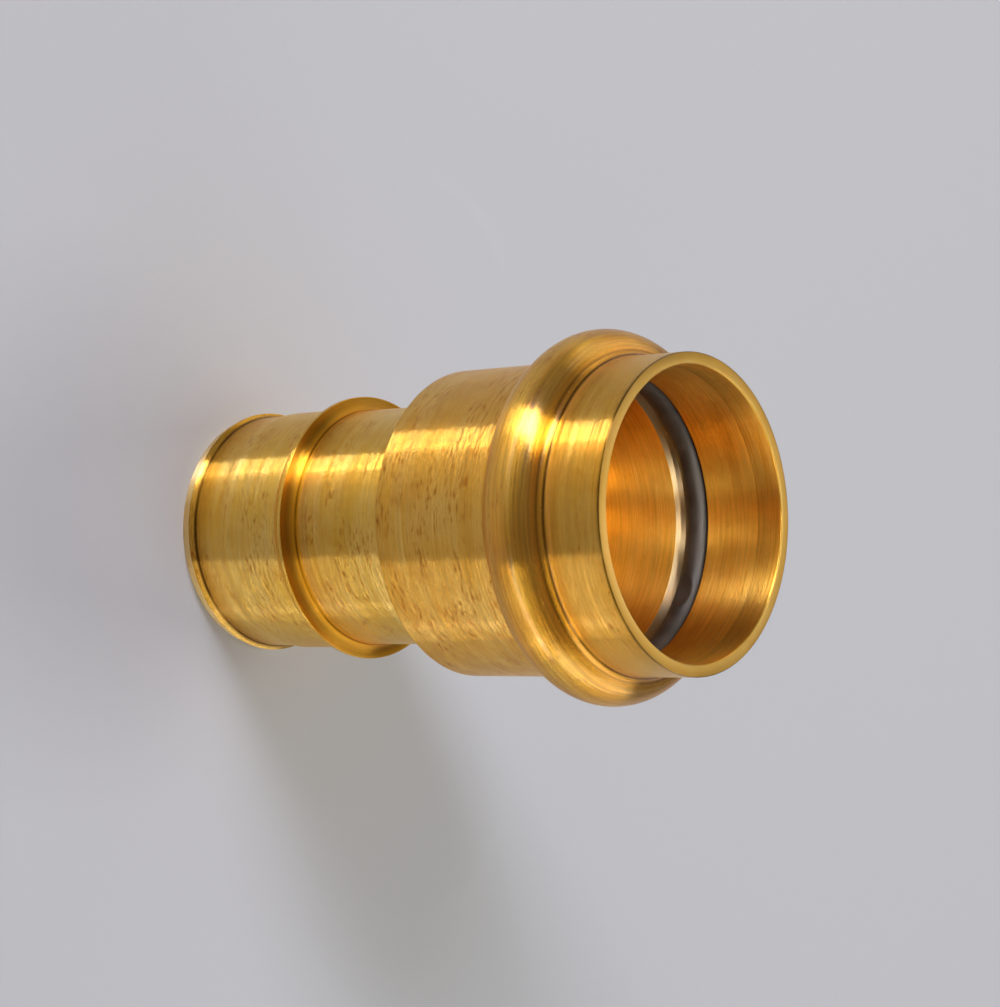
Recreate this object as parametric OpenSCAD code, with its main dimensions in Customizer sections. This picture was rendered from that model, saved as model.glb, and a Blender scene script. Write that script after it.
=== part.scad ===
// Brass adapter between a copper tube and an expanded plastic pipe.
// The copper tube is pressed into the upper end, past a sealing ring in the bead.
// The lower end is a ribbed insert that the expanded pipe shrinks onto.
// The adapter stands on the end face of the insert, with its axis along +Z.

/* [Copper tube socket] */
// Outside diameter of the copper tube
tube_diameter = 28.6; // [27:0.1:30]
// Play between the tube and the socket, across the diameter
tube_play = 0.2; // [0.1:0.05:0.4]
// Depth of the socket from the rim to the tube stop
socket_depth = 23.5; // [20:0.5:28]
// Metal between the tube stop and the shoulder
stop_thickness = 4.1; // [2:0.1:6]
// Width of the small bevel inside the rim
rim_bevel = 0.2; // [0.1:0.05:0.4]

/* [Body] */
// Wall of the guide behind the rim, which sets the body's diameter too
body_wall = 1.225; // [1:0.025:1.6]
// Width of the broken edges on the outside
edge_break = 0.12; // [0.05:0.01:0.3]

/* [Sealing ring] */
// Thickness of the ring's round section
ring_section = 2.9; // [2.4:0.05:3.2]
// How far the ring stands proud of the socket wall
ring_reach = 0.5; // [0.3:0.05:0.7]
// Depth of the leak path pressed into the ring
leak_path_depth = 0.35; // [0.2:0.05:0.6]
// Width of the leak path along the ring
leak_path_width = 3.2; // [2:0.2:5]
// Direction of the leak path around the axis
leak_path_angle = 56; // [0:1:359]

/* [Ring groove] */
// Distance from the rim to the groove's edge on the rim side
groove_from_rim = 9; // [8:0.1:10]
// Room between that edge and the ring, along the axis
ring_setback = 0.2; // [0.1:0.05:0.4]
// Width of the slanted flank on the body side of the ring
groove_flank = 0.9; // [0.5:0.05:1.4]
// Room between the ring and the bottom of the groove
groove_play = 0.04; // [0.02:0.01:0.15]

/* [Bead] */
// Metal between the bottom of the groove and the crest of the bead
bead_wall = 1.7; // [1.4:0.05:2.2]
// How much nearer to the rim the crest lies than the middle of the ring
bead_lead = 0.7; // [0.5:0.05:0.9]
// Radius of the rounded crest
bead_crest_radius = 3.1; // [2.9:0.05:3.3]
// Radius of the fillet between the bead and the guide
bead_rim_fillet = 1.4; // [0.8:0.1:2]
// Radius of the fillet between the bead and the body
bead_body_fillet = 1; // [0.6:0.1:2]

/* [Insert] */
// Length of the insert from the shoulder to its end face
insert_length = 30.3; // [27:0.5:34]
// Diameter of the insert between the shoulder and the middle rib
root_diameter = 24.7; // [24:0.1:25.2]
// Diameter of the insert between the two ribs
nose_diameter = 25.3; // [24.8:0.1:26]
// Diameter of the waterway through the insert
waterway_diameter = 20.4; // [19:0.1:22]
// Width of the bevels at both ends of the waterway
waterway_bevel = 0.4; // [0.2:0.05:0.8]

/* [Middle rib] */
// Distance from the shoulder to the rib's upright face
middle_rib_from_shoulder = 14.7; // [12:0.5:16]
// Height of the rib above the root
middle_rib_height = 1.5; // [1.2:0.05:2]
// Width of its flat crest
middle_rib_land = 0.4; // [0.2:0.05:0.8]
// Length of its slope towards the end face
middle_rib_slope = 1.6; // [1:0.1:2.2]
// Radius of the fillet at its foot
middle_rib_fillet = 1.1; // [0.6:0.1:1.2]

/* [End rib] */
// Height of the rib above the nose
end_rib_height = 0.25; // [0.15:0.05:0.6]
// Distance from the end face to the rib's crest
end_rib_slope = 1.25; // [0.8:0.05:1.8]
// How far the slope drops from the crest to the end face
end_rib_drop = 0.4; // [0.2:0.05:0.8]
// Radius of the hollow behind the rib
end_rib_fillet = 1; // [0.8:0.05:1.4]
// Depth of the relief behind the rib, below the nose
relief_depth = 0.22; // [0.1:0.02:0.3]
// Length of the relief
relief_length = 3.3; // [2.5:0.1:4]
// Length over which the relief rises to the nose
relief_rise = 2; // [1.4:0.1:3]

/* [Hidden] */
$fn = 144;
// Overlap that keeps the cuts clean
cut = 0.5;

shoulder_z = insert_length;
stop_z = shoulder_z + stop_thickness;
rim_z = stop_z + socket_depth;

socket_radius = (tube_diameter + tube_play) / 2;
body_radius = socket_radius + body_wall;
waterway_radius = waterway_diameter / 2;

// Middle of the ring's section and of the bead's crest, each as radius and height
ring_section_radius = ring_section / 2;
groove_radius = ring_section_radius + groove_play;
groove_rim_z = rim_z - groove_from_rim;
ring_middle = [socket_radius - ring_reach + ring_section_radius, groove_rim_z - ring_setback - ring_section_radius];
groove_body_z = ring_middle[1] - ring_section_radius - groove_flank;
bead_crest = [ring_middle[0] + groove_radius + bead_wall - bead_crest_radius, ring_middle[1] + bead_lead];

root_radius = root_diameter / 2;
nose_radius = nose_diameter / 2;
middle_rib_radius = root_radius + middle_rib_height;
middle_rib_face_z = shoulder_z - middle_rib_from_shoulder;
middle_rib_slope_z = middle_rib_face_z - middle_rib_land;
nose_z = middle_rib_slope_z - middle_rib_slope;
end_rib_radius = nose_radius + end_rib_height;
end_face_radius = end_rib_radius - end_rib_drop;
relief_radius = nose_radius - relief_depth;
relief_top_z = end_rib_slope + relief_length;
rise_top_z = relief_top_z + relief_rise;

// Radius of the two arcs that form the rise, each half as long and half as high
rise_arc_radius = (pow(relief_rise, 2) + pow(relief_depth, 2)) / (4 * relief_depth);
// Angle that the hollow behind the end rib turns through
end_rib_turn = acos(max(0, 1 - (end_rib_radius - relief_radius) / end_rib_fillet));

// Point on a circle at an angle from the radial direction
function on_circle(middle, radius, angle) = middle + radius * [cos(angle), sin(angle)];

// Points along an arc
function arc(middle, radius, from, to, steps = 12) =
    [for (i = [0:steps]) on_circle(middle, radius, from + (to - from) * i / steps)];

// Angle at which a line from a point touches a circle, one touch for each side (1 or -1)
function touch_angle(point, middle, radius, side) =
    let (away = point - middle)
    atan2(away[1], away[0]) + side * acos(radius / norm(away));

// Direction from one point to another
function toward(from, to) = atan2(to[1] - from[1], to[0] - from[0]);

// Middle of a fillet that touches the plain body and the crest, above (side 1) or below it
function bead_fillet_middle(fillet, side) =
    let (radial = body_radius + fillet)
    let (reach = bead_crest_radius + fillet)
    [radial, bead_crest[1] + side * sqrt(pow(reach, 2) - pow(radial - bead_crest[0], 2))];

// Outline of the insert, from its end face up to the shoulder
insert_outline = let (
    hollow_middle = [relief_radius + end_rib_fillet, end_rib_slope + end_rib_fillet * sin(end_rib_turn)],
    rise_foot = [relief_radius + rise_arc_radius, relief_top_z],
    rise_head = [nose_radius - rise_arc_radius, rise_top_z],
    rise_turn = asin(relief_rise / 2 / rise_arc_radius),
    foot_middle = [root_radius + middle_rib_fillet, middle_rib_face_z + middle_rib_fillet]
) concat(
    [[0, 0], [end_face_radius, 0], [end_rib_radius, end_rib_slope]],
    arc(hollow_middle, end_rib_fillet, 180 + end_rib_turn, 180, 8),
    arc(rise_foot, rise_arc_radius, 180, 180 - rise_turn, 5),
    arc(rise_head, rise_arc_radius, -rise_turn, 0, 5),
    [[nose_radius, nose_z], [middle_rib_radius, middle_rib_slope_z], [middle_rib_radius, middle_rib_face_z]],
    arc(foot_middle, middle_rib_fillet, 270, 180, 12),
    [[root_radius, shoulder_z]]
);

// Outline of the press end: shoulder, plain body, bead, guide and rim
press_end_outline = let (
    body_fillet_middle = bead_fillet_middle(bead_body_fillet, -1),
    rim_fillet_middle = bead_fillet_middle(bead_rim_fillet, 1),
    crest_from = toward(bead_crest, body_fillet_middle),
    crest_to = toward(bead_crest, rim_fillet_middle)
) concat(
    [[body_radius - edge_break, shoulder_z], [body_radius, shoulder_z + edge_break]],
    arc(body_fillet_middle, bead_body_fillet, 180, crest_from + 180, 10),
    arc(bead_crest, bead_crest_radius, crest_from, crest_to, 36),
    arc(rim_fillet_middle, bead_rim_fillet, crest_to + 180, 180, 12),
    [[body_radius, rim_z - edge_break], [body_radius - edge_break, rim_z], [0, rim_z]]
);

// Half section of the groove: straight flanks that run tangent into a round bottom
module groove_section() {
    rim_edge = [socket_radius, groove_rim_z];
    body_edge = [socket_radius, groove_body_z];
    bottom_from = touch_angle(body_edge, ring_middle, groove_radius, 1);
    bottom_to = touch_angle(rim_edge, ring_middle, groove_radius, -1);
    polygon(concat(
        [[socket_radius - cut, groove_rim_z], [socket_radius - cut, groove_body_z], body_edge],
        arc(ring_middle, groove_radius, bottom_from, bottom_to, 24),
        [rim_edge]
    ));
}

// Socket with its bevel, stop face and the bevel that leads into the waterway
module socket() {
    translate([0, 0, stop_z]) cylinder(r = socket_radius, h = socket_depth + cut);
    translate([0, 0, rim_z - rim_bevel])
        cylinder(r1 = socket_radius, r2 = socket_radius + rim_bevel + cut, h = rim_bevel + cut);
    translate([0, 0, stop_z - waterway_bevel])
        cylinder(r1 = waterway_radius, r2 = waterway_radius + waterway_bevel, h = waterway_bevel);
}

module waterway() {
    translate([0, 0, -cut]) cylinder(r = waterway_radius, h = stop_z + 2 * cut);
    translate([0, 0, -cut])
        cylinder(r1 = waterway_radius + waterway_bevel + cut, r2 = waterway_radius, h = waterway_bevel + cut);
}

module adapter_body() {
    color("darkgoldenrod") difference() {
        rotate_extrude() polygon(concat(insert_outline, press_end_outline));
        waterway();
        socket();
        rotate_extrude() groove_section();
    }
}

// Round ring with one shallow leak path pressed into its inner side
module sealing_ring() {
    inner_radius = ring_middle[0] - ring_section_radius;
    path_radius = (pow(leak_path_width / 2, 2) + pow(leak_path_depth, 2)) / (2 * leak_path_depth);
    path_distance = inner_radius + leak_path_depth - path_radius;
    color("#241f1c") difference() {
        rotate_extrude() translate(ring_middle) circle(r = ring_section_radius, $fn = 72);
        rotate([0, 0, leak_path_angle])
            translate([path_distance, 0, ring_middle[1] - ring_section])
            cylinder(r = path_radius, h = 2 * ring_section, $fn = 96);
    }
}

adapter_body();
sealing_ring();
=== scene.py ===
"""Looks of a turned brass press adapter and of the sealing ring in its bead.

The adapter stands on the end face of its insert, with its axis along +Z. The objects are built
in metres. The sizes in the classes are in millimetres, as a turner's drawing gives them.
"""

import logging
import math
from collections.abc import Callable
from dataclasses import dataclass
from enum import Enum

import bpy
import numpy as np
from mathutils import Matrix, Quaternion, Vector


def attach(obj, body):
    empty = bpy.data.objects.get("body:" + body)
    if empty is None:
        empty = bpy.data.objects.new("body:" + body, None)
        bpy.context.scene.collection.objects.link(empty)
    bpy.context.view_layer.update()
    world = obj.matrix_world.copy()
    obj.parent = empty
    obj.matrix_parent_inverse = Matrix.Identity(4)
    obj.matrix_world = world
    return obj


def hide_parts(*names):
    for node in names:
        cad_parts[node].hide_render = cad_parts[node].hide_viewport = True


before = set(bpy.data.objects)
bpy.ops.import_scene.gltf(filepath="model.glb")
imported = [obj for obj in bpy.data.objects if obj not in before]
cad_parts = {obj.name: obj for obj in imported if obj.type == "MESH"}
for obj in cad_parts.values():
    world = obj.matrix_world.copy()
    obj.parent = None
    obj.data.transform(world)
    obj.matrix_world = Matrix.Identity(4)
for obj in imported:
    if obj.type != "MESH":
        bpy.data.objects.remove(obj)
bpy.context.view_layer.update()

MM = 0.001
LOG = logging.getLogger("press_adapter")

NOISE_MIDDLE = 0.5

Pair = tuple[float, float]
# A place on the half section, as its radius and height in millimetres
Point = Pair
Triple = tuple[float, float, float]
Colour = Triple
Rgba = tuple[float, float, float, float]
Output = bpy.types.NodeSocket
# Outputs for the cosine and sine around the axis, the height and the radius
Turn = tuple[Output, Output, Output, Output]


class Zone(Enum):
    """A stretch of the turned surface that has its own finish."""

    INSERT = 0
    RIB = 1
    BODY = 2
    BEAD = 3
    GUIDE = 4
    RIM = 5
    SOCKET = 6
    GROOVE = 7
    WATERWAY = 8
    END = 9


# Node sheets --------------------


class Sheet:
    """A node tree that is laid out one node after another."""

    COLUMNS = 12
    COLUMN_WIDTH = 180
    ROW_HEIGHT = 220

    def __init__(self, tree: bpy.types.NodeTree) -> None:
        """Take the node tree of a material, a lamp or the world, and empty it."""
        self.tree = tree
        tree.nodes.clear()

    def node(self, kind: str, inputs: dict | None = None, **settings: object) -> bpy.types.Node:
        """Add a node.

        Args:
            kind: The node's type without the common start of its name.
            inputs: Socket name or number, with either a value or the output that feeds it.
            settings: Attributes of the node.

        Returns:
            The new node.
        """
        made = self.tree.nodes.new("ShaderNode" + kind)
        row, column = divmod(len(self.tree.nodes), self.COLUMNS)
        made.location = (self.COLUMN_WIDTH * column, -self.ROW_HEIGHT * row)
        for name, value in settings.items():
            setattr(made, name, value)
        for key, value in (inputs or {}).items():
            if isinstance(value, Output):
                self.tree.links.new(value, made.inputs[key])
            else:
                made.inputs[key].default_value = value
        return made

    def math(self, operation: str, *values: Output | float, kind: str = "Math") -> Output:
        """Add a math node, of kind VectorMath for vectors, and return its output."""
        return self.node(kind, dict(enumerate(values)), operation=operation).outputs[0]

    def ramp(self, value: Output, limits: Pair, results: Pair = (0.0, 1.0)) -> Output:
        """Turn a value between two limits smoothly into one between two results.

        Args:
            value: The output to turn.
            limits: The values that give the first and the second result.
            results: The results at the first and the second limit, and beyond them.

        Returns:
            The result's output.
        """
        (low, high), (start, end) = limits, results
        return self.node(
            "MapRange",
            {"Value": value, "From Min": low, "From Max": high, "To Min": start, "To Max": end},
            interpolation_type="SMOOTHSTEP",
        ).outputs[0]

    def blend(
        self, share: Output | float, first: Output | Rgba, second: Output | Rgba, how: str = "MIX"
    ) -> Output:
        """Mix two colours, with a share of the second, and return the colour's output."""
        mix = self.node("Mix", {0: share, 6: first, 7: second}, data_type="RGBA", blend_type=how)
        return mix.outputs[2]


def solid(colour: Colour) -> Rgba:
    """Return a colour with full alpha."""
    return (*colour, 1.0)


# Finishes --------------------


@dataclass(frozen=True)
class Marks:
    """Noise that is drawn out around the axis, as the lathe and the polishing wheel leave it.

    Attributes:
        around: Marks in each radian around the axis.
        across: Width of a mark across the lines, in millimetres.
        detail: Octaves of finer marks.
        seed: Shift that makes one noise unlike another.
    """

    around: float
    across: float
    detail: float
    seed: float = 0.0

    def draw(self, sheet: Sheet, turn: Turn) -> Output:
        """Add the noise to a sheet.

        Args:
            sheet: The node sheet.
            turn: Outputs for the place around the axis.

        Returns:
            The noise's output.
        """
        cosine, sine, height, radius = turn
        scale = 1.0 / (self.across * MM)
        vector = sheet.node(
            "CombineXYZ",
            {
                0: sheet.math("MULTIPLY", cosine, self.around),
                1: sheet.math("MULTIPLY_ADD", sine, self.around, self.seed),
                2: sheet.math("MULTIPLY", height, scale),
            },
        ).outputs[0]
        noise = sheet.node(
            "TexNoise",
            {"Vector": vector, "W": sheet.math("MULTIPLY", radius, scale), "Scale": 1.0, "Detail": self.detail},
            noise_dimensions="4D",
        )
        return noise.outputs[0]


@dataclass(frozen=True)
class Clouds:
    """Noise that runs in no direction.

    Attributes:
        density: Clouds in each metre.
        detail: Octaves of finer clouds.
        roughness: Strength of each octave beside the one before.
    """

    density: float
    detail: float
    roughness: float = 0.5

    def draw(self, sheet: Sheet, place: Output) -> Output:
        """Add the noise to a sheet, at a place on the object, and return its output."""
        values = {"Vector": place, "Scale": self.density, "Detail": self.detail, "Roughness": self.roughness}
        return sheet.node("TexNoise", values).outputs[0]


@dataclass(frozen=True)
class TurnedBrass:
    """Brass with fine lines around the axis, a cloudy tint, stains, dirt and painted shade in its creases, and
    painted warm bounce light beside them.

    Attributes:
        tint: Colour of the metal.
        pale_tint: Colour of its paler clouds.
        roughness: Middle of the roughness.
        line_slope: Steepness of the fine lines, which spread light along the axis.
        feather: Steepness of the marks that spread light around the axis.
        shade: How much darker the scratches are.
        stains: How many stains there are, 0 for none.
        mottle: Strength of the brown mottling.
        brushed: How far the highlights are drawn out across the lines.
        coat: Weight of the thin film on top, which ends where the dirt and painted shade lie.
        coat_roughness: Roughness of that film.
        coat_index: Its index of refraction.
        wave_depth: Depth of the shallow waves, in millimetres.
    """

    tint: Colour
    pale_tint: Colour
    roughness: float
    line_slope: float = 2.4
    feather: float = 0.09
    shade: float = 0.07
    stains: float = 0.3
    mottle: float = 0.35
    brushed: float = 1.0
    coat: float = 0.0
    coat_roughness: float = 0.2
    coat_index: float = 1.5
    wave_depth: float = 0.003
    stain_tint: Colour = (0.50, 0.155, 0.014)
    mottle_tint: Colour = (0.66, 0.28, 0.035)
    # Colours of the dirt and painted shade in the creases, and of the painted warm bounce light beside them
    dirt_and_shade_tint: Colour = (0.07, 0.028, 0.004)
    glow_tint: Colour = (0.84, 0.34, 0.008)
    lines: Marks = Marks(0.5, 0.006, detail=2.0)
    feathers: Marks = Marks(1.6, 0.16, detail=2.0, seed=7.0)
    scratches: Marks = Marks(2.4, 0.14, detail=3.0, seed=9.0)
    bands: Marks = Marks(1.1, 0.9, detail=2.0)
    waves: Marks = Marks(5.0, 0.7, detail=1.0)
    specks: Marks = Marks(15.0, 0.27, detail=3.0)
    flocks: Marks = Marks(3.0, 3.2, detail=1.0, seed=5.0)
    clouds: Clouds = Clouds(120.0, detail=3.0)
    patches: Clouds = Clouds(420.0, detail=7.0, roughness=0.66)
    # Levels of the noise between which each effect grows from nothing to its full strength
    cloud_levels: Pair = (0.40, 0.72)
    scratch_levels: Pair = (0.35, 0.62)
    mottle_levels: Pair = (0.44, 0.72)
    flock_levels: Pair = (0.38, 0.60)
    dirt_and_shade_levels: Pair = (0.3, 0.6)
    # Share of the dirt and painted shade that stays where the flocks are weak
    least_dirt_and_shade: float = 0.65
    # How much the clouds and the bands count in the tint
    cloud_weight: float = 0.6
    band_weight: float = 0.5
    # How much rougher the bands and the stains are
    band_roughness: float = 0.08
    stain_roughness: float = 0.06
    # Level of the specks where a stain begins, and how far more stains and the flocks lower it
    stain_level: float = 0.73
    stain_drop: float = 0.10
    flock_drop: float = 0.12
    # Sharpness of a stain's edge, a stain's strength, and how fast that grows with their number
    stain_edge: float = 6.0
    stain_strength: float = 0.8
    stain_growth: float = 3.0
    # A quarter turn of the shader's highlight, which lays it across the lines
    highlight_turn: float = 0.25

    def build(self, name: str) -> bpy.types.Material:
        """Return the material.

        Args:
            name: The material's name.

        Returns:
            A metal that reads the dirt with its painted shade and the painted warm bounce light from the mesh.
        """
        material = bpy.data.materials.new(name)
        material.use_nodes = True
        sheet = Sheet(material.node_tree)
        place = sheet.node("TexCoord").outputs["Object"]
        x, y, height = sheet.node("SeparateXYZ", {0: place}).outputs
        square = sheet.math("ADD", sheet.math("MULTIPLY", x, x), sheet.math("MULTIPLY", y, y))
        radius = sheet.math("SQRT", square)
        turn = (sheet.math("DIVIDE", x, radius), sheet.math("DIVIDE", y, radius), height, radius)

        bands = self.bands.draw(sheet, turn)
        flocks = self.flocks.draw(sheet, turn)
        stain = self.stain(sheet, turn, flocks)
        # Dirt and painted shade in the creases, read from the mesh
        dirt_and_shade = sheet.node("Attribute", attribute_name="crease_dirt_and_shade").outputs["Fac"]
        dirt_and_shade = sheet.math("MULTIPLY", dirt_and_shade, sheet.ramp(flocks, self.dirt_and_shade_levels, (self.least_dirt_and_shade, 1.0)))
        rougher = sheet.math("MULTIPLY", bands, self.band_roughness)
        gloss = sheet.math("ADD", rougher, self.roughness - self.band_roughness * NOISE_MIDDLE)
        gloss = sheet.math("ADD", gloss, sheet.math("MULTIPLY", stain, self.stain_roughness))
        coat = sheet.math("MULTIPLY", sheet.math("SUBTRACT", 1.0, dirt_and_shade), self.coat) if self.coat > 0 else 0.0
        metal = sheet.node(
            "BsdfPrincipled",
            {
                "Base Color": self.colour(sheet, place, turn, bands, stain, dirt_and_shade),
                "Metallic": 1.0,
                "Roughness": gloss,
                "Anisotropic": self.brushed,
                "Anisotropic Rotation": self.highlight_turn,
                "Normal": self.lined_normal(sheet, turn),
                "Tangent": sheet.node("Tangent", direction_type="RADIAL", axis="Z").outputs[0],
                "Coat Weight": coat,
                "Coat Roughness": self.coat_roughness,
                "Coat IOR": self.coat_index,
            },
        )
        sheet.node("OutputMaterial", {"Surface": metal.outputs[0]})
        return material

    def stain(self, sheet: Sheet, turn: Turn, flocks: Output) -> Output:
        """Add the stains, which stand closer where the flocks are strong.

        Args:
            sheet: The node sheet.
            turn: Outputs for the place around the axis.
            flocks: Output that says where the stains gather.

        Returns:
            The stains' strength.
        """
        specks = self.specks.draw(sheet, turn)
        gathered = sheet.math("MULTIPLY", sheet.ramp(flocks, self.flock_levels), self.flock_drop)
        cut = sheet.math("SUBTRACT", self.stain_level - self.stain_drop * self.stains, gathered)
        above = sheet.math("MULTIPLY", sheet.math("SUBTRACT", specks, cut), self.stain_edge)
        stain = sheet.node("Clamp", {0: above}).outputs[0]
        return sheet.math("MULTIPLY", stain, self.stain_strength * min(1.0, self.stain_growth * self.stains))

    def colour(
        self, sheet: Sheet, place: Output, turn: Turn, bands: Output, stain: Output, dirt_and_shade: Output
    ) -> Output:
        """Lay clouds, scratches, mottling, stains, painted warm bounce light, and dirt with painted shade over
        the metal's tint.

        Args:
            sheet: The node sheet.
            place: Output for the place on the object.
            turn: Outputs for the place around the axis.
            bands: Output for the broad bands around the axis.
            stain: The stains' strength.
            dirt_and_shade: Strength of the dirt and painted shade.

        Returns:
            The colour's output.
        """
        clouds = sheet.math("MULTIPLY", self.clouds.draw(sheet, place), self.cloud_weight)
        tone = sheet.math("ADD", clouds, sheet.math("MULTIPLY", bands, self.band_weight))
        colour = sheet.blend(sheet.ramp(tone, self.cloud_levels), solid(self.tint), solid(self.pale_tint))
        scratches = self.scratches.draw(sheet, turn)
        darker = sheet.ramp(scratches, self.scratch_levels, (1.0 - self.shade, 1.0))
        grey = sheet.node("CombineColor", {0: darker, 1: darker, 2: darker}).outputs[0]
        colour = sheet.blend(1.0, colour, grey, "MULTIPLY")
        mottle = sheet.ramp(self.patches.draw(sheet, place), self.mottle_levels)
        colour = sheet.blend(sheet.math("MULTIPLY", mottle, self.mottle), colour, solid(self.mottle_tint))
        colour = sheet.blend(stain, colour, solid(self.stain_tint))
        # Painted warm bounce light beside the creases
        glow = sheet.node("Attribute", attribute_name="crease_glow").outputs["Fac"]
        colour = sheet.blend(glow, colour, solid(self.glow_tint))
        # Dirt and painted shade in the creases
        return sheet.blend(dirt_and_shade, colour, solid(self.dirt_and_shade_tint))

    def lined_normal(self, sheet: Sheet, turn: Turn) -> Output:
        """Tilt the surface by the waves, the fine lines and the feathers.

        Args:
            sheet: The node sheet.
            turn: Outputs for the place around the axis.

        Returns:
            The normal's output.
        """
        bump = {"Strength": 1.0, "Distance": self.wave_depth * MM, "Height": self.waves.draw(sheet, turn)}
        wavy = sheet.node("Bump", bump).outputs[0]
        around = sheet.node("CombineXYZ", {0: sheet.math("MULTIPLY", turn[1], -1.0), 1: turn[0]}).outputs[0]
        # The lines tilt the surface across themselves only, so they spread light along the axis
        across = sheet.math("CROSS_PRODUCT", around, wavy, kind="VectorMath")
        normal = wavy
        for way, marks, slope in ((across, self.lines, self.line_slope), (around, self.feathers, self.feather)):
            tilt = sheet.math("MULTIPLY", sheet.math("SUBTRACT", marks.draw(sheet, turn), NOISE_MIDDLE), slope)
            tilted = sheet.node("VectorMath", {0: way, "Scale": tilt}, operation="SCALE").outputs[0]
            normal = sheet.math("ADD", normal, tilted, kind="VectorMath")
        return sheet.math("NORMALIZE", normal, kind="VectorMath")


@dataclass(frozen=True)
class SealRubber:
    """Smooth moulded rubber with a soft sheen.

    Attributes:
        name: The material's name.
        tint: Colour of the rubber.
        sheen_tint: Colour of its highlights.
        roughness: Roughness that the gloss varies around.
        index: Index of refraction.
        paler: How many times brighter its pale clouds are.
        gloss_spread: How far the roughness goes below and above its middle.
        grain_depth: Depth of the moulded grain, in millimetres.
        grain_strength: Strength of that grain.
    """

    name: str = "seal_rubber_black"
    tint: Colour = (0.016, 0.012, 0.009)
    sheen_tint: Colour = (1.0, 0.90, 0.78)
    roughness: float = 0.46
    index: float = 1.52
    paler: float = 1.9
    gloss_spread: Pair = (-0.05, 0.12)
    grain_depth: float = 0.006
    grain_strength: float = 0.5
    grain: Clouds = Clouds(5200.0, detail=2.0)
    clouds: Clouds = Clouds(420.0, detail=3.0)
    tint_levels: Pair = (0.35, 0.7)
    gloss_levels: Pair = (0.3, 0.75)

    def build(self) -> bpy.types.Material:
        """Return the material.

        Returns:
            A near-black glossy rubber with faint clouds in its gloss and a fine moulded grain.
        """
        material = bpy.data.materials.new(self.name)
        material.use_nodes = True
        sheet = Sheet(material.node_tree)
        place = sheet.node("TexCoord").outputs["Object"]
        grain = self.grain.draw(sheet, place)
        clouds = self.clouds.draw(sheet, place)
        pale_tint = tuple(self.paler * part for part in self.tint)
        colour = sheet.blend(sheet.ramp(clouds, self.tint_levels), solid(self.tint), solid(pale_tint))
        smoothest, roughest = (self.roughness + spread for spread in self.gloss_spread)
        bump = {"Strength": self.grain_strength, "Distance": self.grain_depth * MM, "Height": grain}
        rubber = sheet.node(
            "BsdfPrincipled",
            {
                "Base Color": colour,
                "Roughness": sheet.ramp(clouds, self.gloss_levels, (smoothest, roughest)),
                "IOR": self.index,
                "Specular Tint": solid(self.sheen_tint),
                "Normal": sheet.node("Bump", bump).outputs[0],
            },
        )
        sheet.node("OutputMaterial", {"Surface": rubber.outputs[0]})
        return material


# Turned pieces --------------------


def arc(middle: Point, radius: float, start: float, end: float, steps: int) -> list[Point]:
    """Return points along an arc.

    Args:
        middle: The arc's middle, as radius and height.
        radius: The arc's radius.
        start: Where it starts, in degrees from the radial direction.
        end: Where it ends, in degrees.
        steps: How many chords it has.

    Returns:
        The points, with both ends.
    """
    turns = np.radians(np.linspace(start, end, steps + 1))
    return [(middle[0] + radius * math.cos(t), middle[1] + radius * math.sin(t)) for t in turns]


def direction(start: Point, end: Point) -> float:
    """Return the direction from one point to another, in degrees."""
    return math.degrees(math.atan2(end[1] - start[1], end[0] - start[0]))


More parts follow.
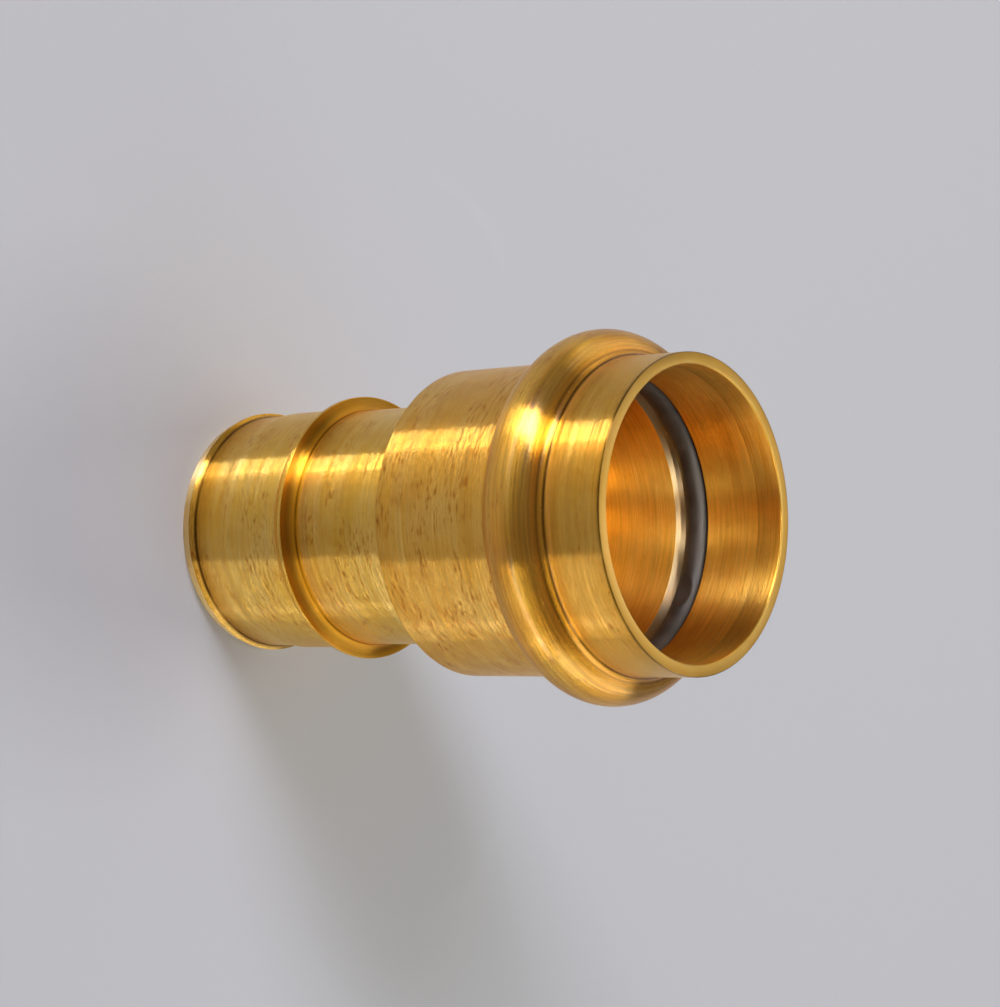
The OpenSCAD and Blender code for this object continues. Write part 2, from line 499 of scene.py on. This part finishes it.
class HalfSection:
    """A closed half section that is walked once around, with a zone for each stretch."""

    # A longer stretch than this, in millimetres, gets rows at these distances from both of its ends
    LONG_STRETCH = 2.5
    ROW_PLACES = (0.12, 0.25, 0.45, 0.9)
    # A rounding takes up to this share of the shorter side beside it
    SIDE_SHARE = 0.45
    # Degrees that each chord of a rounding turns through, and the fewest and most chords it has
    CHORD_TURN = 14
    FEWEST_CHORDS = 3
    MOST_CHORDS = 8

    def __init__(self) -> None:
        """Start with no corners."""
        self.corners: list[tuple[Point, float, Zone]] = []

    def to(self, radius: float, height: float, zone: Zone, soften: float = 0.0) -> None:
        """Go on to a corner that is rounded with the radius soften, and enter a zone there."""
        self.corners.append(((radius, height), soften, zone))

    def along(self, points: list[Point], zone: Zone) -> None:
        """Go on along the points of a smooth curve that lies in one zone."""
        for point in points:
            self.corners.append((point, 0.0, zone))

    def walk(self) -> tuple[np.ndarray, list[Zone]]:
        """Return the section's points with its corners rounded.

        Returns:
            The points as rows of radius and height, and the zone of the stretch after each.
        """
        points: list[Point] = []
        zones: list[Zone] = []
        for index, (corner, soften, zone) in enumerate(self.corners):
            if soften <= 0:
                points.append(corner)
                zones.append(zone)
                continue
            before, _, zone_before = self.corners[index - 1]
            after = self.corners[(index + 1) % len(self.corners)][0]
            bend = self.round_off(corner, before, after, soften)
            points += bend
            zones += [zone if 2 * step >= len(bend) - 1 else zone_before for step in range(len(bend))]
        return self.add_rows(np.array(points), zones)

    def round_off(self, corner: Point, before: Point, after: Point, soften: float) -> list[Point]:
        """Return the points that round a corner.

        Args:
            corner: The sharp corner.
            before: The corner before it.
            after: The corner after it.
            soften: The radius to round it with, which is less where a side is too short.

        Returns:
            The points of the arc, with both ends.
        """
        here = np.array(corner)
        back, ahead = np.array(before) - here, np.array(after) - here
        lengths = np.linalg.norm(back), np.linalg.norm(ahead)
        back, ahead = back / lengths[0], ahead / lengths[1]
        half = math.acos(max(-1.0, min(1.0, float(back @ ahead)))) / 2
        reach = min(soften / math.tan(half), self.SIDE_SHARE * min(lengths))
        radius = reach * math.tan(half)
        inward = (back + ahead) / np.linalg.norm(back + ahead)
        middle = here + inward * radius / math.sin(half)
        start, end = here + back * reach - middle, here + ahead * reach - middle
        turn = math.pi - 2 * half
        steps = max(self.FEWEST_CHORDS, min(self.MOST_CHORDS, int(math.degrees(turn) / self.CHORD_TURN)))
        points = []
        for share in np.arange(steps + 1) / steps:
            mixed = (math.sin((1 - share) * turn) * start + math.sin(share * turn) * end) / math.sin(turn)
            points.append(tuple(middle + mixed))
        return points

    def add_rows(self, points: np.ndarray, zones: list[Zone]) -> tuple[np.ndarray, list[Zone]]:
        """Add points near both ends of each long stretch.

        Args:
            points: The section's points.
            zones: The zone of the stretch after each point.

        Returns:
            The points and zones with the added ones, so that the dirt and painted shade in a crease fade close
            to it.
        """
        rows, kinds = [], []
        for start, end, zone in zip(points, np.roll(points, -1, axis=0), zones):
            length = float(np.linalg.norm(end - start))
            shares = [place / length for place in self.ROW_PLACES] if length > self.LONG_STRETCH else []
            shares = [0.0, *shares, *(1 - share for share in reversed(shares))]
            rows += [start + (end - start) * share for share in shares]
            kinds += [zone] * len(shares)
        return np.array(rows), kinds


def lathe(
    name: str,
    section: np.ndarray,
    slots: list[int],
    segments: int,
    reshape: Callable[[np.ndarray, np.ndarray], tuple[np.ndarray, np.ndarray]] | None = None,
) -> bpy.types.Object:
    """Turn a closed half section into a mesh with exact normals.

    Args:
        name: The object's name.
        section: Rows of radius and height, in millimetres, anticlockwise seen with +Z up.
        slots: The material slot of the stretch after each point.
        segments: How many segments there are around the axis.
        reshape: A function that moves the points of the finished grid, or None.

    Returns:
        The object, at the origin.
    """
    count = len(section)
    ahead = np.roll(section, -1, axis=0) - section
    lengths = np.linalg.norm(ahead, axis=1, keepdims=True)
    # Weighted by length: at the end of an arc, the straight line beside it gives the direction
    tangent = ahead * lengths + np.roll(ahead * lengths, 1, axis=0)
    tangent /= np.linalg.norm(tangent, axis=1, keepdims=True)
    normal = np.stack([tangent[:, 1], -tangent[:, 0]], axis=1)
    turns = np.arange(segments) * 2 * math.pi / segments
    around = np.stack([np.cos(turns), np.sin(turns)], axis=1)

    grid = np.empty((segments, count, 3))
    grid[:, :, :2] = section[None, :, :1] * around[:, None, :]
    grid[:, :, 2] = section[None, :, 1]
    normals = np.empty((segments, count, 3))
    normals[:, :, :2] = normal[None, :, :1] * around[:, None, :]
    normals[:, :, 2] = normal[None, :, 1]
    if reshape is not None:
        grid, normals = reshape(grid, normals)

    here = np.arange(segments)[:, None] * count + np.arange(count)[None, :]
    beside = np.roll(here, -1, axis=0)
    faces = np.stack([here, beside, np.roll(beside, -1, axis=1), np.roll(here, -1, axis=1)], axis=2)
    mesh = bpy.data.meshes.new(name)
    mesh.from_pydata((grid.reshape(-1, 3) * MM).tolist(), [], faces.reshape(-1, 4).tolist())
    mesh.polygons.foreach_set("material_index", np.tile(np.array(slots, dtype=np.int32), segments))
    mesh.polygons.foreach_set("use_smooth", np.ones(segments * count, dtype=bool))

    length = np.concatenate([[0.0], np.cumsum(lengths[:, 0])])
    edge_u = np.arange(segments + 1) / segments
    edge_v = length / length[-1]
    corners = np.empty((segments, count, 4, 2))
    corners[:, :, (0, 3), 0] = edge_u[:-1, None, None]
    corners[:, :, (1, 2), 0] = edge_u[1:, None, None]
    corners[:, :, (0, 1), 1] = edge_v[None, :-1, None]
    corners[:, :, (2, 3), 1] = edge_v[None, 1:, None]
    mesh.uv_layers.new(name="around_and_along").data.foreach_set("uv", corners.reshape(-1))
    mesh.normals_split_custom_set_from_vertices(normals.reshape(-1, 3).tolist())
    mesh.update()

    made = bpy.data.objects.new(name, mesh)
    bpy.context.scene.collection.objects.link(made)
    return made


@dataclass(frozen=True)
class Crease:
    """A place that holds dirt and painted shade, with painted warm bounce light on the metal beside it.

    Attributes:
        radius: Its distance from the axis, in millimetres.
        height: Its height, in millimetres.
        reach: How far the dirt and painted shade reach, in millimetres.
        dirt_and_shade: Strength of the dirt and painted shade.
        halo: Strength of the painted warm bounce light beside it.
    """

    radius: float
    height: float
    reach: float
    dirt_and_shade: float
    halo: float = 0.0


@dataclass(frozen=True)
class ToolLine:
    """A shallow line that the tool left around the axis.

    Attributes:
        height: Its height, in millimetres.
        width: Its width, in millimetres.
        depth: Its depth, in millimetres, outwards if positive.
        points: How many points lie across it.
    """

    height: float
    width: float
    depth: float
    points: int = 7

    def across(self, radius: float) -> list[Point]:
        """Return the points across the line, from low to high.

        Args:
            radius: The wall's radius.

        Returns:
            The points, each as radius and height.
        """
        shares = np.linspace(-0.5, 0.5, self.points)
        return [
            (radius + self.depth * math.cos(math.pi * share) ** 2, self.height + self.width * share)
            for share in shares
        ]


@dataclass
class AdapterBody:
    """The turned brass body: insert, ribs, shoulder, plain body, bead, guide, socket and groove."""

    rim_height: float = 57.9
    body_radius: float = 15.625
    socket_radius: float = 14.4
    stop_height: float = 34.4
    shoulder_height: float = 30.3
    edge_break: float = 0.12
    rim_bevel: float = 0.2
    groove_edges: Pair = (44.9, 48.9)
    groove_middle: Point = (15.35, 47.25)
    groove_radius: float = 1.49
    bead_middle: Point = (15.43, 47.95)
    bead_radius: float = 3.1
    bead_fillets: Pair = (1.0, 1.4)
    root_radius: float = 12.35
    nose_radius: float = 12.65
    relief_radius: float = 12.43
    relief_heights: Pair = (4.55, 6.55)
    rib_radius: float = 13.85
    rib_heights: Triple = (13.6, 15.2, 15.6)
    rib_fillet: float = 1.1
    end_radii: Pair = (12.5, 12.9)
    end_rib_height: float = 1.25
    end_rib_fillet: float = 1.0
    waterway_radius: float = 10.2
    waterway_bevel: float = 0.4
    segments: int = 256
    # Share of its full turn that the hollow behind the end rib makes, beside the rounded crest
    hollow_share: float = 0.97
    # Radii that soften the corners of crests, rib feet, waterway, shoulder, groove and tube stop
    crisp_edge: float = 0.07
    rib_edge: float = 0.1
    bore_edge: float = 0.08
    shoulder_edges: Pair = (0.12, 0.16)
    groove_softening: Pair = (0.06, 0.1)
    stop_softening: float = 0.2
    nose_line: ToolLine = ToolLine(7.4, 0.16, -0.006)
    root_line: ToolLine = ToolLine(25.2, 0.14, -0.005)
    guide_line: ToolLine = ToolLine(55.16, 0.12, 0.012)
    # How far the painted warm bounce light beside a crease reaches, in millimetres
    halo_reach: float = 0.7
    # Creases with dirt and painted shade, most with painted warm bounce light beside them
    creases: tuple[Crease, ...] = (
        Crease(12.46, 1.84, reach=0.24, dirt_and_shade=1.0, halo=0.6),
        Crease(12.37, 16.35, reach=0.12, dirt_and_shade=0.9, halo=0.9),
        Crease(13.0, 15.75, reach=0.40, dirt_and_shade=0.40, halo=0.5),
        Crease(12.35, 30.3, reach=0.15, dirt_and_shade=0.6, halo=0.3),
        Crease(15.60, 30.36, reach=0.08, dirt_and_shade=0.35),
        Crease(15.66, 44.1, reach=0.14, dirt_and_shade=0.45, halo=0.2),
        Crease(15.79, 51.50, reach=0.15, dirt_and_shade=1.0, halo=0.9),
        Crease(16.25, 51.00, reach=0.15, dirt_and_shade=0.6, halo=0.9),
        Crease(15.62, 57.80, reach=0.18, dirt_and_shade=0.9, halo=0.2),
        Crease(14.4, 55.16, reach=0.08, dirt_and_shade=0.5),
        Crease(14.4, 48.86, reach=0.12, dirt_and_shade=0.6, halo=0.3),
        Crease(14.4, 34.4, reach=0.5, dirt_and_shade=0.6, halo=0.6),
    )

    def build(self) -> bpy.types.Object:
        """Return the body as one mesh.

        Returns:
            The object, which stands for the CAD body.
        """
        section = HalfSection()
        self.walk_insert(section)
        self.walk_press_end(section)
        self.walk_bore(section)
        points, zones = section.walk()
        made = lathe("turned_body", points, [zone.value for zone in zones], self.segments)
        self.leave_dirt_and_shade(made, points)
        self.dress(made)
        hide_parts("adapter_body")
        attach(made, "root")
        return made

    def leave_dirt_and_shade(self, made: bpy.types.Object, points: np.ndarray) -> None:
        """Mark the dirt and painted shade in the creases, and the painted warm bounce light on the metal beside
        them.

        Args:
            made: The body's object.
            points: The half section that it was turned from.
        """
        dirt_and_shade, glow = np.zeros(len(points)), np.zeros(len(points))
        for crease in self.creases:
            away = np.hypot(points[:, 0] - crease.radius, points[:, 1] - crease.height)
            dirt_and_shade = np.maximum(dirt_and_shade, crease.dirt_and_shade * np.exp(-((away / crease.reach) ** 2)))
            glow = np.maximum(glow, crease.halo * np.exp(-away / self.halo_reach))
        for name, values in (("crease_dirt_and_shade", dirt_and_shade), ("crease_glow", glow)):
            layer = made.data.attributes.new(name, "FLOAT", "POINT")
            layer.data.foreach_set("value", np.tile(values, self.segments).astype(np.float32))

    def walk_insert(self, section: HalfSection) -> None:
        """Walk the outside of the insert, from its end face up to the shoulder.

        Args:
            section: The half section to go on with.
        """
        face, crest = self.end_radii
        hollow = self.end_rib_fillet
        turn = math.degrees(math.acos(1 - (crest - self.relief_radius) / hollow))
        hollow_top = self.end_rib_height + hollow * math.sin(math.radians(turn))
        low, high = self.relief_heights
        rise, drop = high - low, self.nose_radius - self.relief_radius
        bend = (rise**2 + drop**2) / (4 * drop)
        lean = math.degrees(math.asin(rise / 2 / bend))
        slope_from, slope_to, rib_face = self.rib_heights
        section.to(self.waterway_radius + self.waterway_bevel, 0, Zone.RIB, self.rib_edge)
        section.to(face, 0, Zone.END, self.rib_edge)
        section.to(crest, self.end_rib_height, Zone.INSERT, self.crisp_edge)
        middle = (self.relief_radius + hollow, hollow_top)
        section.along(arc(middle, hollow, 180 + self.hollow_share * turn, 180, steps=14)[:-1], Zone.INSERT)
        section.to(self.relief_radius, hollow_top, Zone.INSERT)
        section.along(arc((self.relief_radius + bend, low), bend, 180, 180 - lean, steps=8), Zone.INSERT)
        section.along(arc((self.nose_radius - bend, high), bend, -lean, 0, steps=8)[1:], Zone.INSERT)
        section.along(self.nose_line.across(self.nose_radius), Zone.INSERT)
        section.to(self.nose_radius, slope_from, Zone.RIB, self.rib_edge)
        section.to(self.rib_radius, slope_to, Zone.INSERT, self.crisp_edge)
        section.to(self.rib_radius, rib_face, Zone.RIB, self.crisp_edge)
        foot = (self.root_radius + self.rib_fillet, rib_face + self.rib_fillet)
        section.along(arc(foot, self.rib_fillet, 270, 180, steps=20)[:-1], Zone.RIB)
        section.to(self.root_radius, rib_face + self.rib_fillet, Zone.INSERT)
        section.along(self.root_line.across(self.root_radius), Zone.INSERT)

    def walk_press_end(self, section: HalfSection) -> None:
        """Walk the outside of the press end, from the shoulder up to the rim.

        Args:
            section: The half section to go on with.
        """
        lower, upper = self.bead_fillets
        lower_middle = self.fillet_middle(lower, -1)
        upper_middle = self.fillet_middle(upper, 1)
        crest_from = direction(self.bead_middle, lower_middle)
        crest_to = direction(self.bead_middle, upper_middle)
        inner_edge, outer_edge = self.shoulder_edges
        section.to(self.root_radius, self.shoulder_height, Zone.BODY, inner_edge)
        section.to(self.body_radius, self.shoulder_height, Zone.BODY, outer_edge)
        section.along(arc(lower_middle, lower, 180, crest_from + 180, steps=14), Zone.BEAD)
        crest = arc(self.bead_middle, self.bead_radius, crest_from, crest_to, steps=60)
        section.along(crest[1:-1], Zone.BEAD)
        section.along(arc(upper_middle, upper, crest_to + 180, 180, steps=20)[:-1], Zone.BEAD)
        section.to(self.body_radius, upper_middle[1], Zone.GUIDE)
        section.to(self.body_radius, self.rim_height, Zone.RIM, self.edge_break)
        section.to(self.socket_radius, self.rim_height, Zone.SOCKET, self.rim_bevel)

    def walk_bore(self, section: HalfSection) -> None:
        """Walk the inside, from the rim down through the groove and the waterway.

        Args:
            section: The half section to go on with.
        """
        low_edge, high_edge = self.groove_edges
        bottom_to = self.touch((self.socket_radius, high_edge), -1)
        bottom_from = self.touch((self.socket_radius, low_edge), 1)
        high_softening, low_softening = self.groove_softening
        section.along(self.guide_line.across(self.socket_radius)[::-1], Zone.SOCKET)
        section.to(self.socket_radius, high_edge, Zone.GROOVE, high_softening)
        bottom = arc(self.groove_middle, self.groove_radius, bottom_to, bottom_from, steps=40)
        section.along(bottom, Zone.GROOVE)
        section.to(self.socket_radius, low_edge, Zone.SOCKET, low_softening)
        section.to(self.socket_radius, self.stop_height, Zone.SOCKET, self.stop_softening)
        bevel, radius = self.waterway_bevel, self.waterway_radius
        section.to(radius + bevel, self.stop_height, Zone.WATERWAY, self.bore_edge)
        section.to(radius, self.stop_height - bevel, Zone.WATERWAY, self.bore_edge)
        section.to(radius, bevel, Zone.WATERWAY, self.bore_edge)

    def fillet_middle(self, fillet: float, side: int) -> Point:
        """Return the middle of a fillet between the bead's crest and the plain wall.

        Args:
            fillet: The fillet's radius.
            side: 1 above the crest, -1 below it.

        Returns:
            The middle, as radius and height.
        """
        radial = self.body_radius + fillet
        reach = self.bead_radius + fillet
        rise = math.sqrt(reach**2 - (radial - self.bead_middle[0]) ** 2)
        return radial, self.bead_middle[1] + side * rise

    def touch(self, point: Point, side: int) -> float:
        """Return the degrees at which a line from a point touches the groove's bottom, on side 1 or -1."""
        away = math.dist(point, self.groove_middle)
        return direction(self.groove_middle, point) + side * math.degrees(math.acos(self.groove_radius / away))

    @staticmethod
    def dress(made: bpy.types.Object) -> None:
        """Give each zone its finish.

        Args:
            made: The body's object, whose faces hold their zone's number.
        """
        finishes = {
            Zone.INSERT: TurnedBrass(
                tint=(0.88, 0.51, 0.065), pale_tint=(0.93, 0.61, 0.15), roughness=0.22,
                line_slope=4.5, feather=0.04, stains=0.9, mottle=0.3,
            ),
            Zone.RIB: TurnedBrass(
                tint=(0.72, 0.35, 0.028), pale_tint=(0.76, 0.41, 0.055), roughness=0.34,
                line_slope=2.5, feather=0.1, stains=0.1,
            ),
            Zone.BODY: TurnedBrass(
                tint=(0.87, 0.445, 0.055), pale_tint=(0.92, 0.55, 0.12), roughness=0.22,
                line_slope=4.5, feather=0.055, stains=1.0, mottle=0.5,
            ),
            Zone.BEAD: TurnedBrass(
                tint=(0.80, 0.35, 0.022), pale_tint=(0.90, 0.49, 0.055), roughness=0.25,
                line_slope=2.0, feather=0.08, shade=0.26, stains=0.4, coat=0.13, coat_index=2.6,
                scratches=Marks(2.4, 0.26, detail=3.0, seed=9.0),
            ),
            # The guide's brass is tinted a little darker than the body's, as painted shade beside the bead
            Zone.GUIDE: TurnedBrass(
                tint=(0.80, 0.43, 0.052), pale_tint=(0.85, 0.51, 0.10), roughness=0.22,
                line_slope=4.5, feather=0.04, stains=0.6, mottle=0.3,
            ),
            # The rim face's brass is tinted darker than the body's, as painted shade
            Zone.RIM: TurnedBrass(
                tint=(0.56, 0.34, 0.07), pale_tint=(0.64, 0.41, 0.11), roughness=0.42,
                line_slope=0.6, stains=0.1, brushed=0.3,
            ),
            Zone.SOCKET: TurnedBrass(
                tint=(0.88, 0.48, 0.06), pale_tint=(0.92, 0.54, 0.09), roughness=0.36,
                shade=0.2, stains=0.1, brushed=0.85,
            ),
            # The groove's pale greyish tint is painted reflection, the paler look of light reflected once out
            # of the socket
            Zone.GROOVE: TurnedBrass(
                tint=(0.56, 0.41, 0.21), pale_tint=(0.63, 0.47, 0.26), roughness=0.55,
                line_slope=1.5, stains=0.0,
            ),
            Zone.WATERWAY: TurnedBrass(
                tint=(0.90, 0.44, 0.07), pale_tint=(0.93, 0.50, 0.10), roughness=0.66,
                stains=0.2,
            ),
            Zone.END: TurnedBrass(
                tint=(0.90, 0.66, 0.27), pale_tint=(0.94, 0.74, 0.37), roughness=0.36,
                line_slope=2.5, feather=0.04,
            ),
        }
        for zone in Zone:
            made.data.materials.append(finishes[zone].build(f"brass_{zone.name.lower()}"))


@dataclass
class SealingRing:
    """The round rubber ring, with the shallow leak path pressed into its inner side."""

    middle: Point = (15.35, 47.25)
    section_radius: float = 1.447
    path_depth: float = 0.35
    path_width: float = 3.2
    path_angle: float = 56.0
    # Width that softens the path's edges, and how far outward of its floor a point stays in place
    path_softness: float = 0.04
    path_margin: float = 1.0
    segments: int = 480
    section_steps: int = 72

    def build(self) -> bpy.types.Object:
        """Return the ring as one mesh.

        Returns:
            The object, which stands for the CAD ring.
        """
        points = np.array(arc(self.middle, self.section_radius, 0, 360, self.section_steps)[:-1])
        made = lathe("seal_ring", points, [0] * len(points), self.segments, self.press_leak_path)
        made.data.materials.append(SealRubber().build())
        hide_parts("sealing_ring")
        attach(made, "root")
        return made

    def press_leak_path(self, grid: np.ndarray, normals: np.ndarray) -> tuple[np.ndarray, np.ndarray]:
        """Press the leak path into the inner side.

        Args:
            grid: Points by segment and section step.
            normals: The normals of the round ring.

        Returns:
            The moved points and their normals.
        """
        wheel = ((self.path_width / 2) ** 2 + self.path_depth**2) / (2 * self.path_depth)
        distance = self.middle[0] - self.section_radius + self.path_depth - wheel
        turns = np.arctan2(grid[:, :, 1], grid[:, :, 0]) - math.radians(self.path_angle)
        turns = (turns + math.pi) % (2 * math.pi) - math.pi
        inside = wheel**2 - (distance * np.sin(turns)) ** 2
        floor = np.where(inside > 0, distance * np.cos(turns) + np.sqrt(np.maximum(inside, 0)), 0)
        radius = np.hypot(grid[:, :, 0], grid[:, :, 1])
        gap = floor - radius
        lift = (gap + np.sqrt(gap**2 + self.path_softness**2)) / 2
        pushed = radius + np.where(gap > -self.path_margin, lift, 0)
        grid = grid.copy()
        grid[:, :, :2] *= (pushed / radius)[:, :, None]
        beside = np.roll(grid, -1, axis=0) - np.roll(grid, 1, axis=0)
        along = np.roll(grid, -1, axis=1) - np.roll(grid, 1, axis=1)
        turned = np.cross(beside, along)
        turned /= np.linalg.norm(turned, axis=2, keepdims=True)
        turned *= np.sign(np.sum(turned * normals, axis=2, keepdims=True))
        return grid, turned


# Studio --------------------


@dataclass(frozen=True)
class HungLamp:
    """A lamp that hangs around the object and faces a point on its axis.

    Attributes:
        name: The lamp's name.
        azimuth: Where it hangs around the axis, in degrees from +X.
        elevation: How high it hangs above the horizon, in degrees.
    """

    name: str
    azimuth: float
    elevation: float

    def hang(self, lamp: bpy.types.Light, aim: float, distance: float, lean: float = 0.0) -> bpy.types.Object:
        """Hang the lamp in the scene.

        Args:
            lamp: The lamp's data.
            aim: Height of the point that it faces, in millimetres.
            distance: Its distance from that point, in metres.
            lean: How far it is turned about its own beam, in degrees.

        Returns:
            The lamp's object.
        """
        made = bpy.data.objects.new(self.name, lamp)
        around, up = math.radians(self.azimuth), math.radians(self.elevation)
        away = Vector((math.cos(around) * math.cos(up), math.sin(around) * math.cos(up), math.sin(up)))
        made.location = Vector((0, 0, aim * MM)) + away * distance
        made.rotation_mode = "QUATERNION"
        made.rotation_quaternion = away.to_track_quat("Z", "Y") @ Quaternion((0, 0, 1), math.radians(lean))
        bpy.context.scene.collection.objects.link(made)
        return made


@dataclass(frozen=True)
class SoftBox(HungLamp):
    """A soft rectangular lamp.

    Attributes:
        size: Its width and height, in metres.
        radiance: How bright its face is.
        lean: How far it is turned about its own beam, in degrees.
        light: Colour of its light.
        fade: How fast its light fades along its width, 0 for not at all.
        distance: Its distance from the point that it faces, in metres.
    """

    # Power of a square metre of lamp with a radiance of 1
    POWER = 4.0

    size: Pair
    radiance: float
    lean: float = 0.0
    light: Colour = (1.0, 1.0, 1.0)
    fade: float = 0.0
    distance: float = 1.0

    def build(self, aim: float) -> None:
        """Place the lamp.

        Args:
            aim: Height of the point that it faces, in millimetres.
        """
        lamp = bpy.data.lights.new(self.name, "AREA")
        lamp.shape = "RECTANGLE"
        lamp.size, lamp.size_y = self.size
        lamp.energy = self.POWER * self.radiance * self.size[0] * self.size[1]
        lamp.color = self.light
        if self.fade > 0:
            lamp.use_nodes = True
            sheet = Sheet(lamp.node_tree)
            along = sheet.node("SeparateXYZ", {0: sheet.node("NewGeometry").outputs["Parametric"]}).outputs[0]
            along = sheet.math("SUBTRACT", 1.0, along)
            glow = sheet.node("Emission", {"Strength": sheet.math("POWER", along, self.fade)})
            sheet.node("OutputLight", {"Surface": glow.outputs[0]})
        self.hang(lamp, aim, self.distance, self.lean).visible_camera = False


@dataclass(frozen=True)
class SocketSpot(HungLamp):
    """A small lamp with a narrow beam that fills the socket past its rim.

    Attributes:
        power: Its power, in watts.
        beam: Width of its beam, in degrees.
        edge: How soft the edge of the beam is, from 0 to 1.
        distance: Its distance from the point that it faces, in metres.
        radius: Its own radius, in metres.
    """

    power: float
    beam: float = 2.5
    edge: float = 0.7
    distance: float = 0.6
    radius: float = 0.004

    def build(self, aim: float) -> None:
        """Place the lamp.

        Args:
            aim: Height of the point that it faces, in millimetres.
        """
        lamp = bpy.data.lights.new(self.name, "SPOT")
        lamp.energy, lamp.spot_size, lamp.spot_blend = self.power, math.radians(self.beam), self.edge
        lamp.shadow_soft_size = self.radius
        self.hang(lamp, aim, self.distance)


@dataclass
class Studio:
    """The pale floor, the soft lamps and the camera."""

    floor_tint: Colour = (0.53, 0.52, 0.495)
    # How much of its tint the floor keeps where its grain is dark, and that grain
    floor_shade: float = 0.985
    floor_grain: Clouds = Clouds(900.0, detail=3.0)
    # Side of the floor, in metres
    floor_size: float = 60.0
    room_tint: Colour = (0.20, 0.20, 0.20)
    lamps: tuple[SoftBox, ...] = (
        SoftBox("key_lamp", -151.0, 31.0, size=(0.24, 1.05), radiance=7.8, lean=9.0, light=(0.96, 1.0, 1.28)),
        SoftBox("soft_lamp", -105.0, 7.0, size=(1.56, 0.20), radiance=8.6, fade=4.0),
        SoftBox("fill_lamp", -37.4, 7.0, size=(1.12, 0.20), radiance=3.5),
        SoftBox("strip_lamp", -20.0, 7.0, size=(0.12, 0.20), radiance=2.4, light=(0.92, 1.02, 1.8)),
        SoftBox("side_lamp", 22.0, 26.0, size=(0.96, 0.50), radiance=1.5, light=(0.94, 1.0, 1.2)),
        SoftBox("back_lamp", 84.0, 60.0, size=(0.42, 0.40), radiance=4.5),
        SoftBox("far_lamp", 135.0, 24.0, size=(0.80, 0.50), radiance=0.8),
    )
    socket_spots: tuple[SocketSpot, ...] = (
        SocketSpot("left_socket_spot", -142.0, 58.0, power=5.0),
        SocketSpot("middle_socket_spot", -97.0, 60.0, power=6.0),
        SocketSpot("right_socket_spot", -48.0, 58.0, power=6.8),
        SocketSpot("low_socket_spot", -108.0, 36.0, beam=1.5, power=5.8),
        SocketSpot("low_side_spot", -68.0, 36.0, beam=1.5, power=4.0),
    )
    # Heights on the axis that the lamps and the socket spots face, in millimetres
    lamp_aim: float = 29.0
    spot_aim: float = 57.5
    # The camera's place in millimetres, and its own axes to the right, up and back
    camera_place: Triple = (0.0, -208.427, 205.468)
    camera_axes: tuple[Triple, Triple, Triple] = (
        (0.04051, 0.63640, 0.77029),
        (-0.99915, 0.02038, 0.03571),
        (0.00703, -0.77109, 0.63669),
    )
    # Focal length and width of the sensor in millimetres, and the nearest and farthest sight in metres
    lens: float = 95.75
    sensor: float = 36.0
    sight: Pair = (0.005, 200.0)

    def build(self) -> None:
        """Build the whole studio."""
        scene = bpy.context.scene
        scene.view_settings.view_transform = "Standard"
        self.build_floor()
        self.build_room()
        for lamp in self.lamps:
            lamp.build(self.lamp_aim)
            LOG.info("lamp %s at %g degrees around, %g up", lamp.name, lamp.azimuth, lamp.elevation)
        for spot in self.socket_spots:
            spot.build(self.spot_aim)
        self.build_camera()

    def build_floor(self) -> None:
        """Lay the pale floor."""
        half = self.floor_size / 2
        mesh = bpy.data.meshes.new("floor")
        corners = [(-half, -half, 0), (half, -half, 0), (half, half, 0), (-half, half, 0)]
        mesh.from_pydata(corners, [], [(0, 1, 2, 3)])
        material = bpy.data.materials.new("pale_floor")
        material.use_nodes = True
        sheet = Sheet(material.node_tree)
        place = sheet.node("TexCoord").outputs["Object"]
        dark_tint = tuple(self.floor_shade * part for part in self.floor_tint)
        tint = sheet.blend(self.floor_grain.draw(sheet, place), solid(dark_tint), solid(self.floor_tint))
        paint = sheet.node("BsdfPrincipled", {"Base Color": tint, "Roughness": 0.9, "Specular IOR Level": 0.2})
        sheet.node("OutputMaterial", {"Surface": paint.outputs[0]})
        mesh.materials.append(material)
        floor = bpy.data.objects.new("floor", mesh)
        bpy.context.scene.collection.objects.link(floor)

    def build_room(self) -> None:
        """Fill the room with plain soft light."""
        world = bpy.data.worlds.new("studio")
        world.use_nodes = True
        sheet = Sheet(world.node_tree)
        light = sheet.node("Background", {"Color": solid(self.room_tint), "Strength": 1.0})
        sheet.node("OutputWorld", {"Surface": light.outputs[0]})
        bpy.context.scene.world = world

    def build_camera(self) -> None:
        """Set the camera at the photograph's place."""
        lens = bpy.data.cameras.new("camera")
        lens.lens, lens.sensor_width, lens.sensor_fit = self.lens, self.sensor, "HORIZONTAL"
        lens.clip_start, lens.clip_end = self.sight
        camera = bpy.data.objects.new("camera", lens)
        columns = Matrix(self.camera_axes).transposed()
        camera.matrix_world = Matrix.Translation(Vector(self.camera_place) * MM) @ columns.to_4x4()
        bpy.context.scene.collection.objects.link(camera)
        bpy.context.scene.camera = camera


def main() -> None:
    """Build the pieces and the studio, and report each."""
    logging.basicConfig(level=logging.INFO, format="%(name)s: %(message)s")
    for piece in (AdapterBody(), SealingRing()):
        made = piece.build()
        LOG.info("%s: %d faces, %d finishes", made.name, len(made.data.polygons), len(made.data.materials))
    Studio().build()


if __name__ == "__main__":
    main()
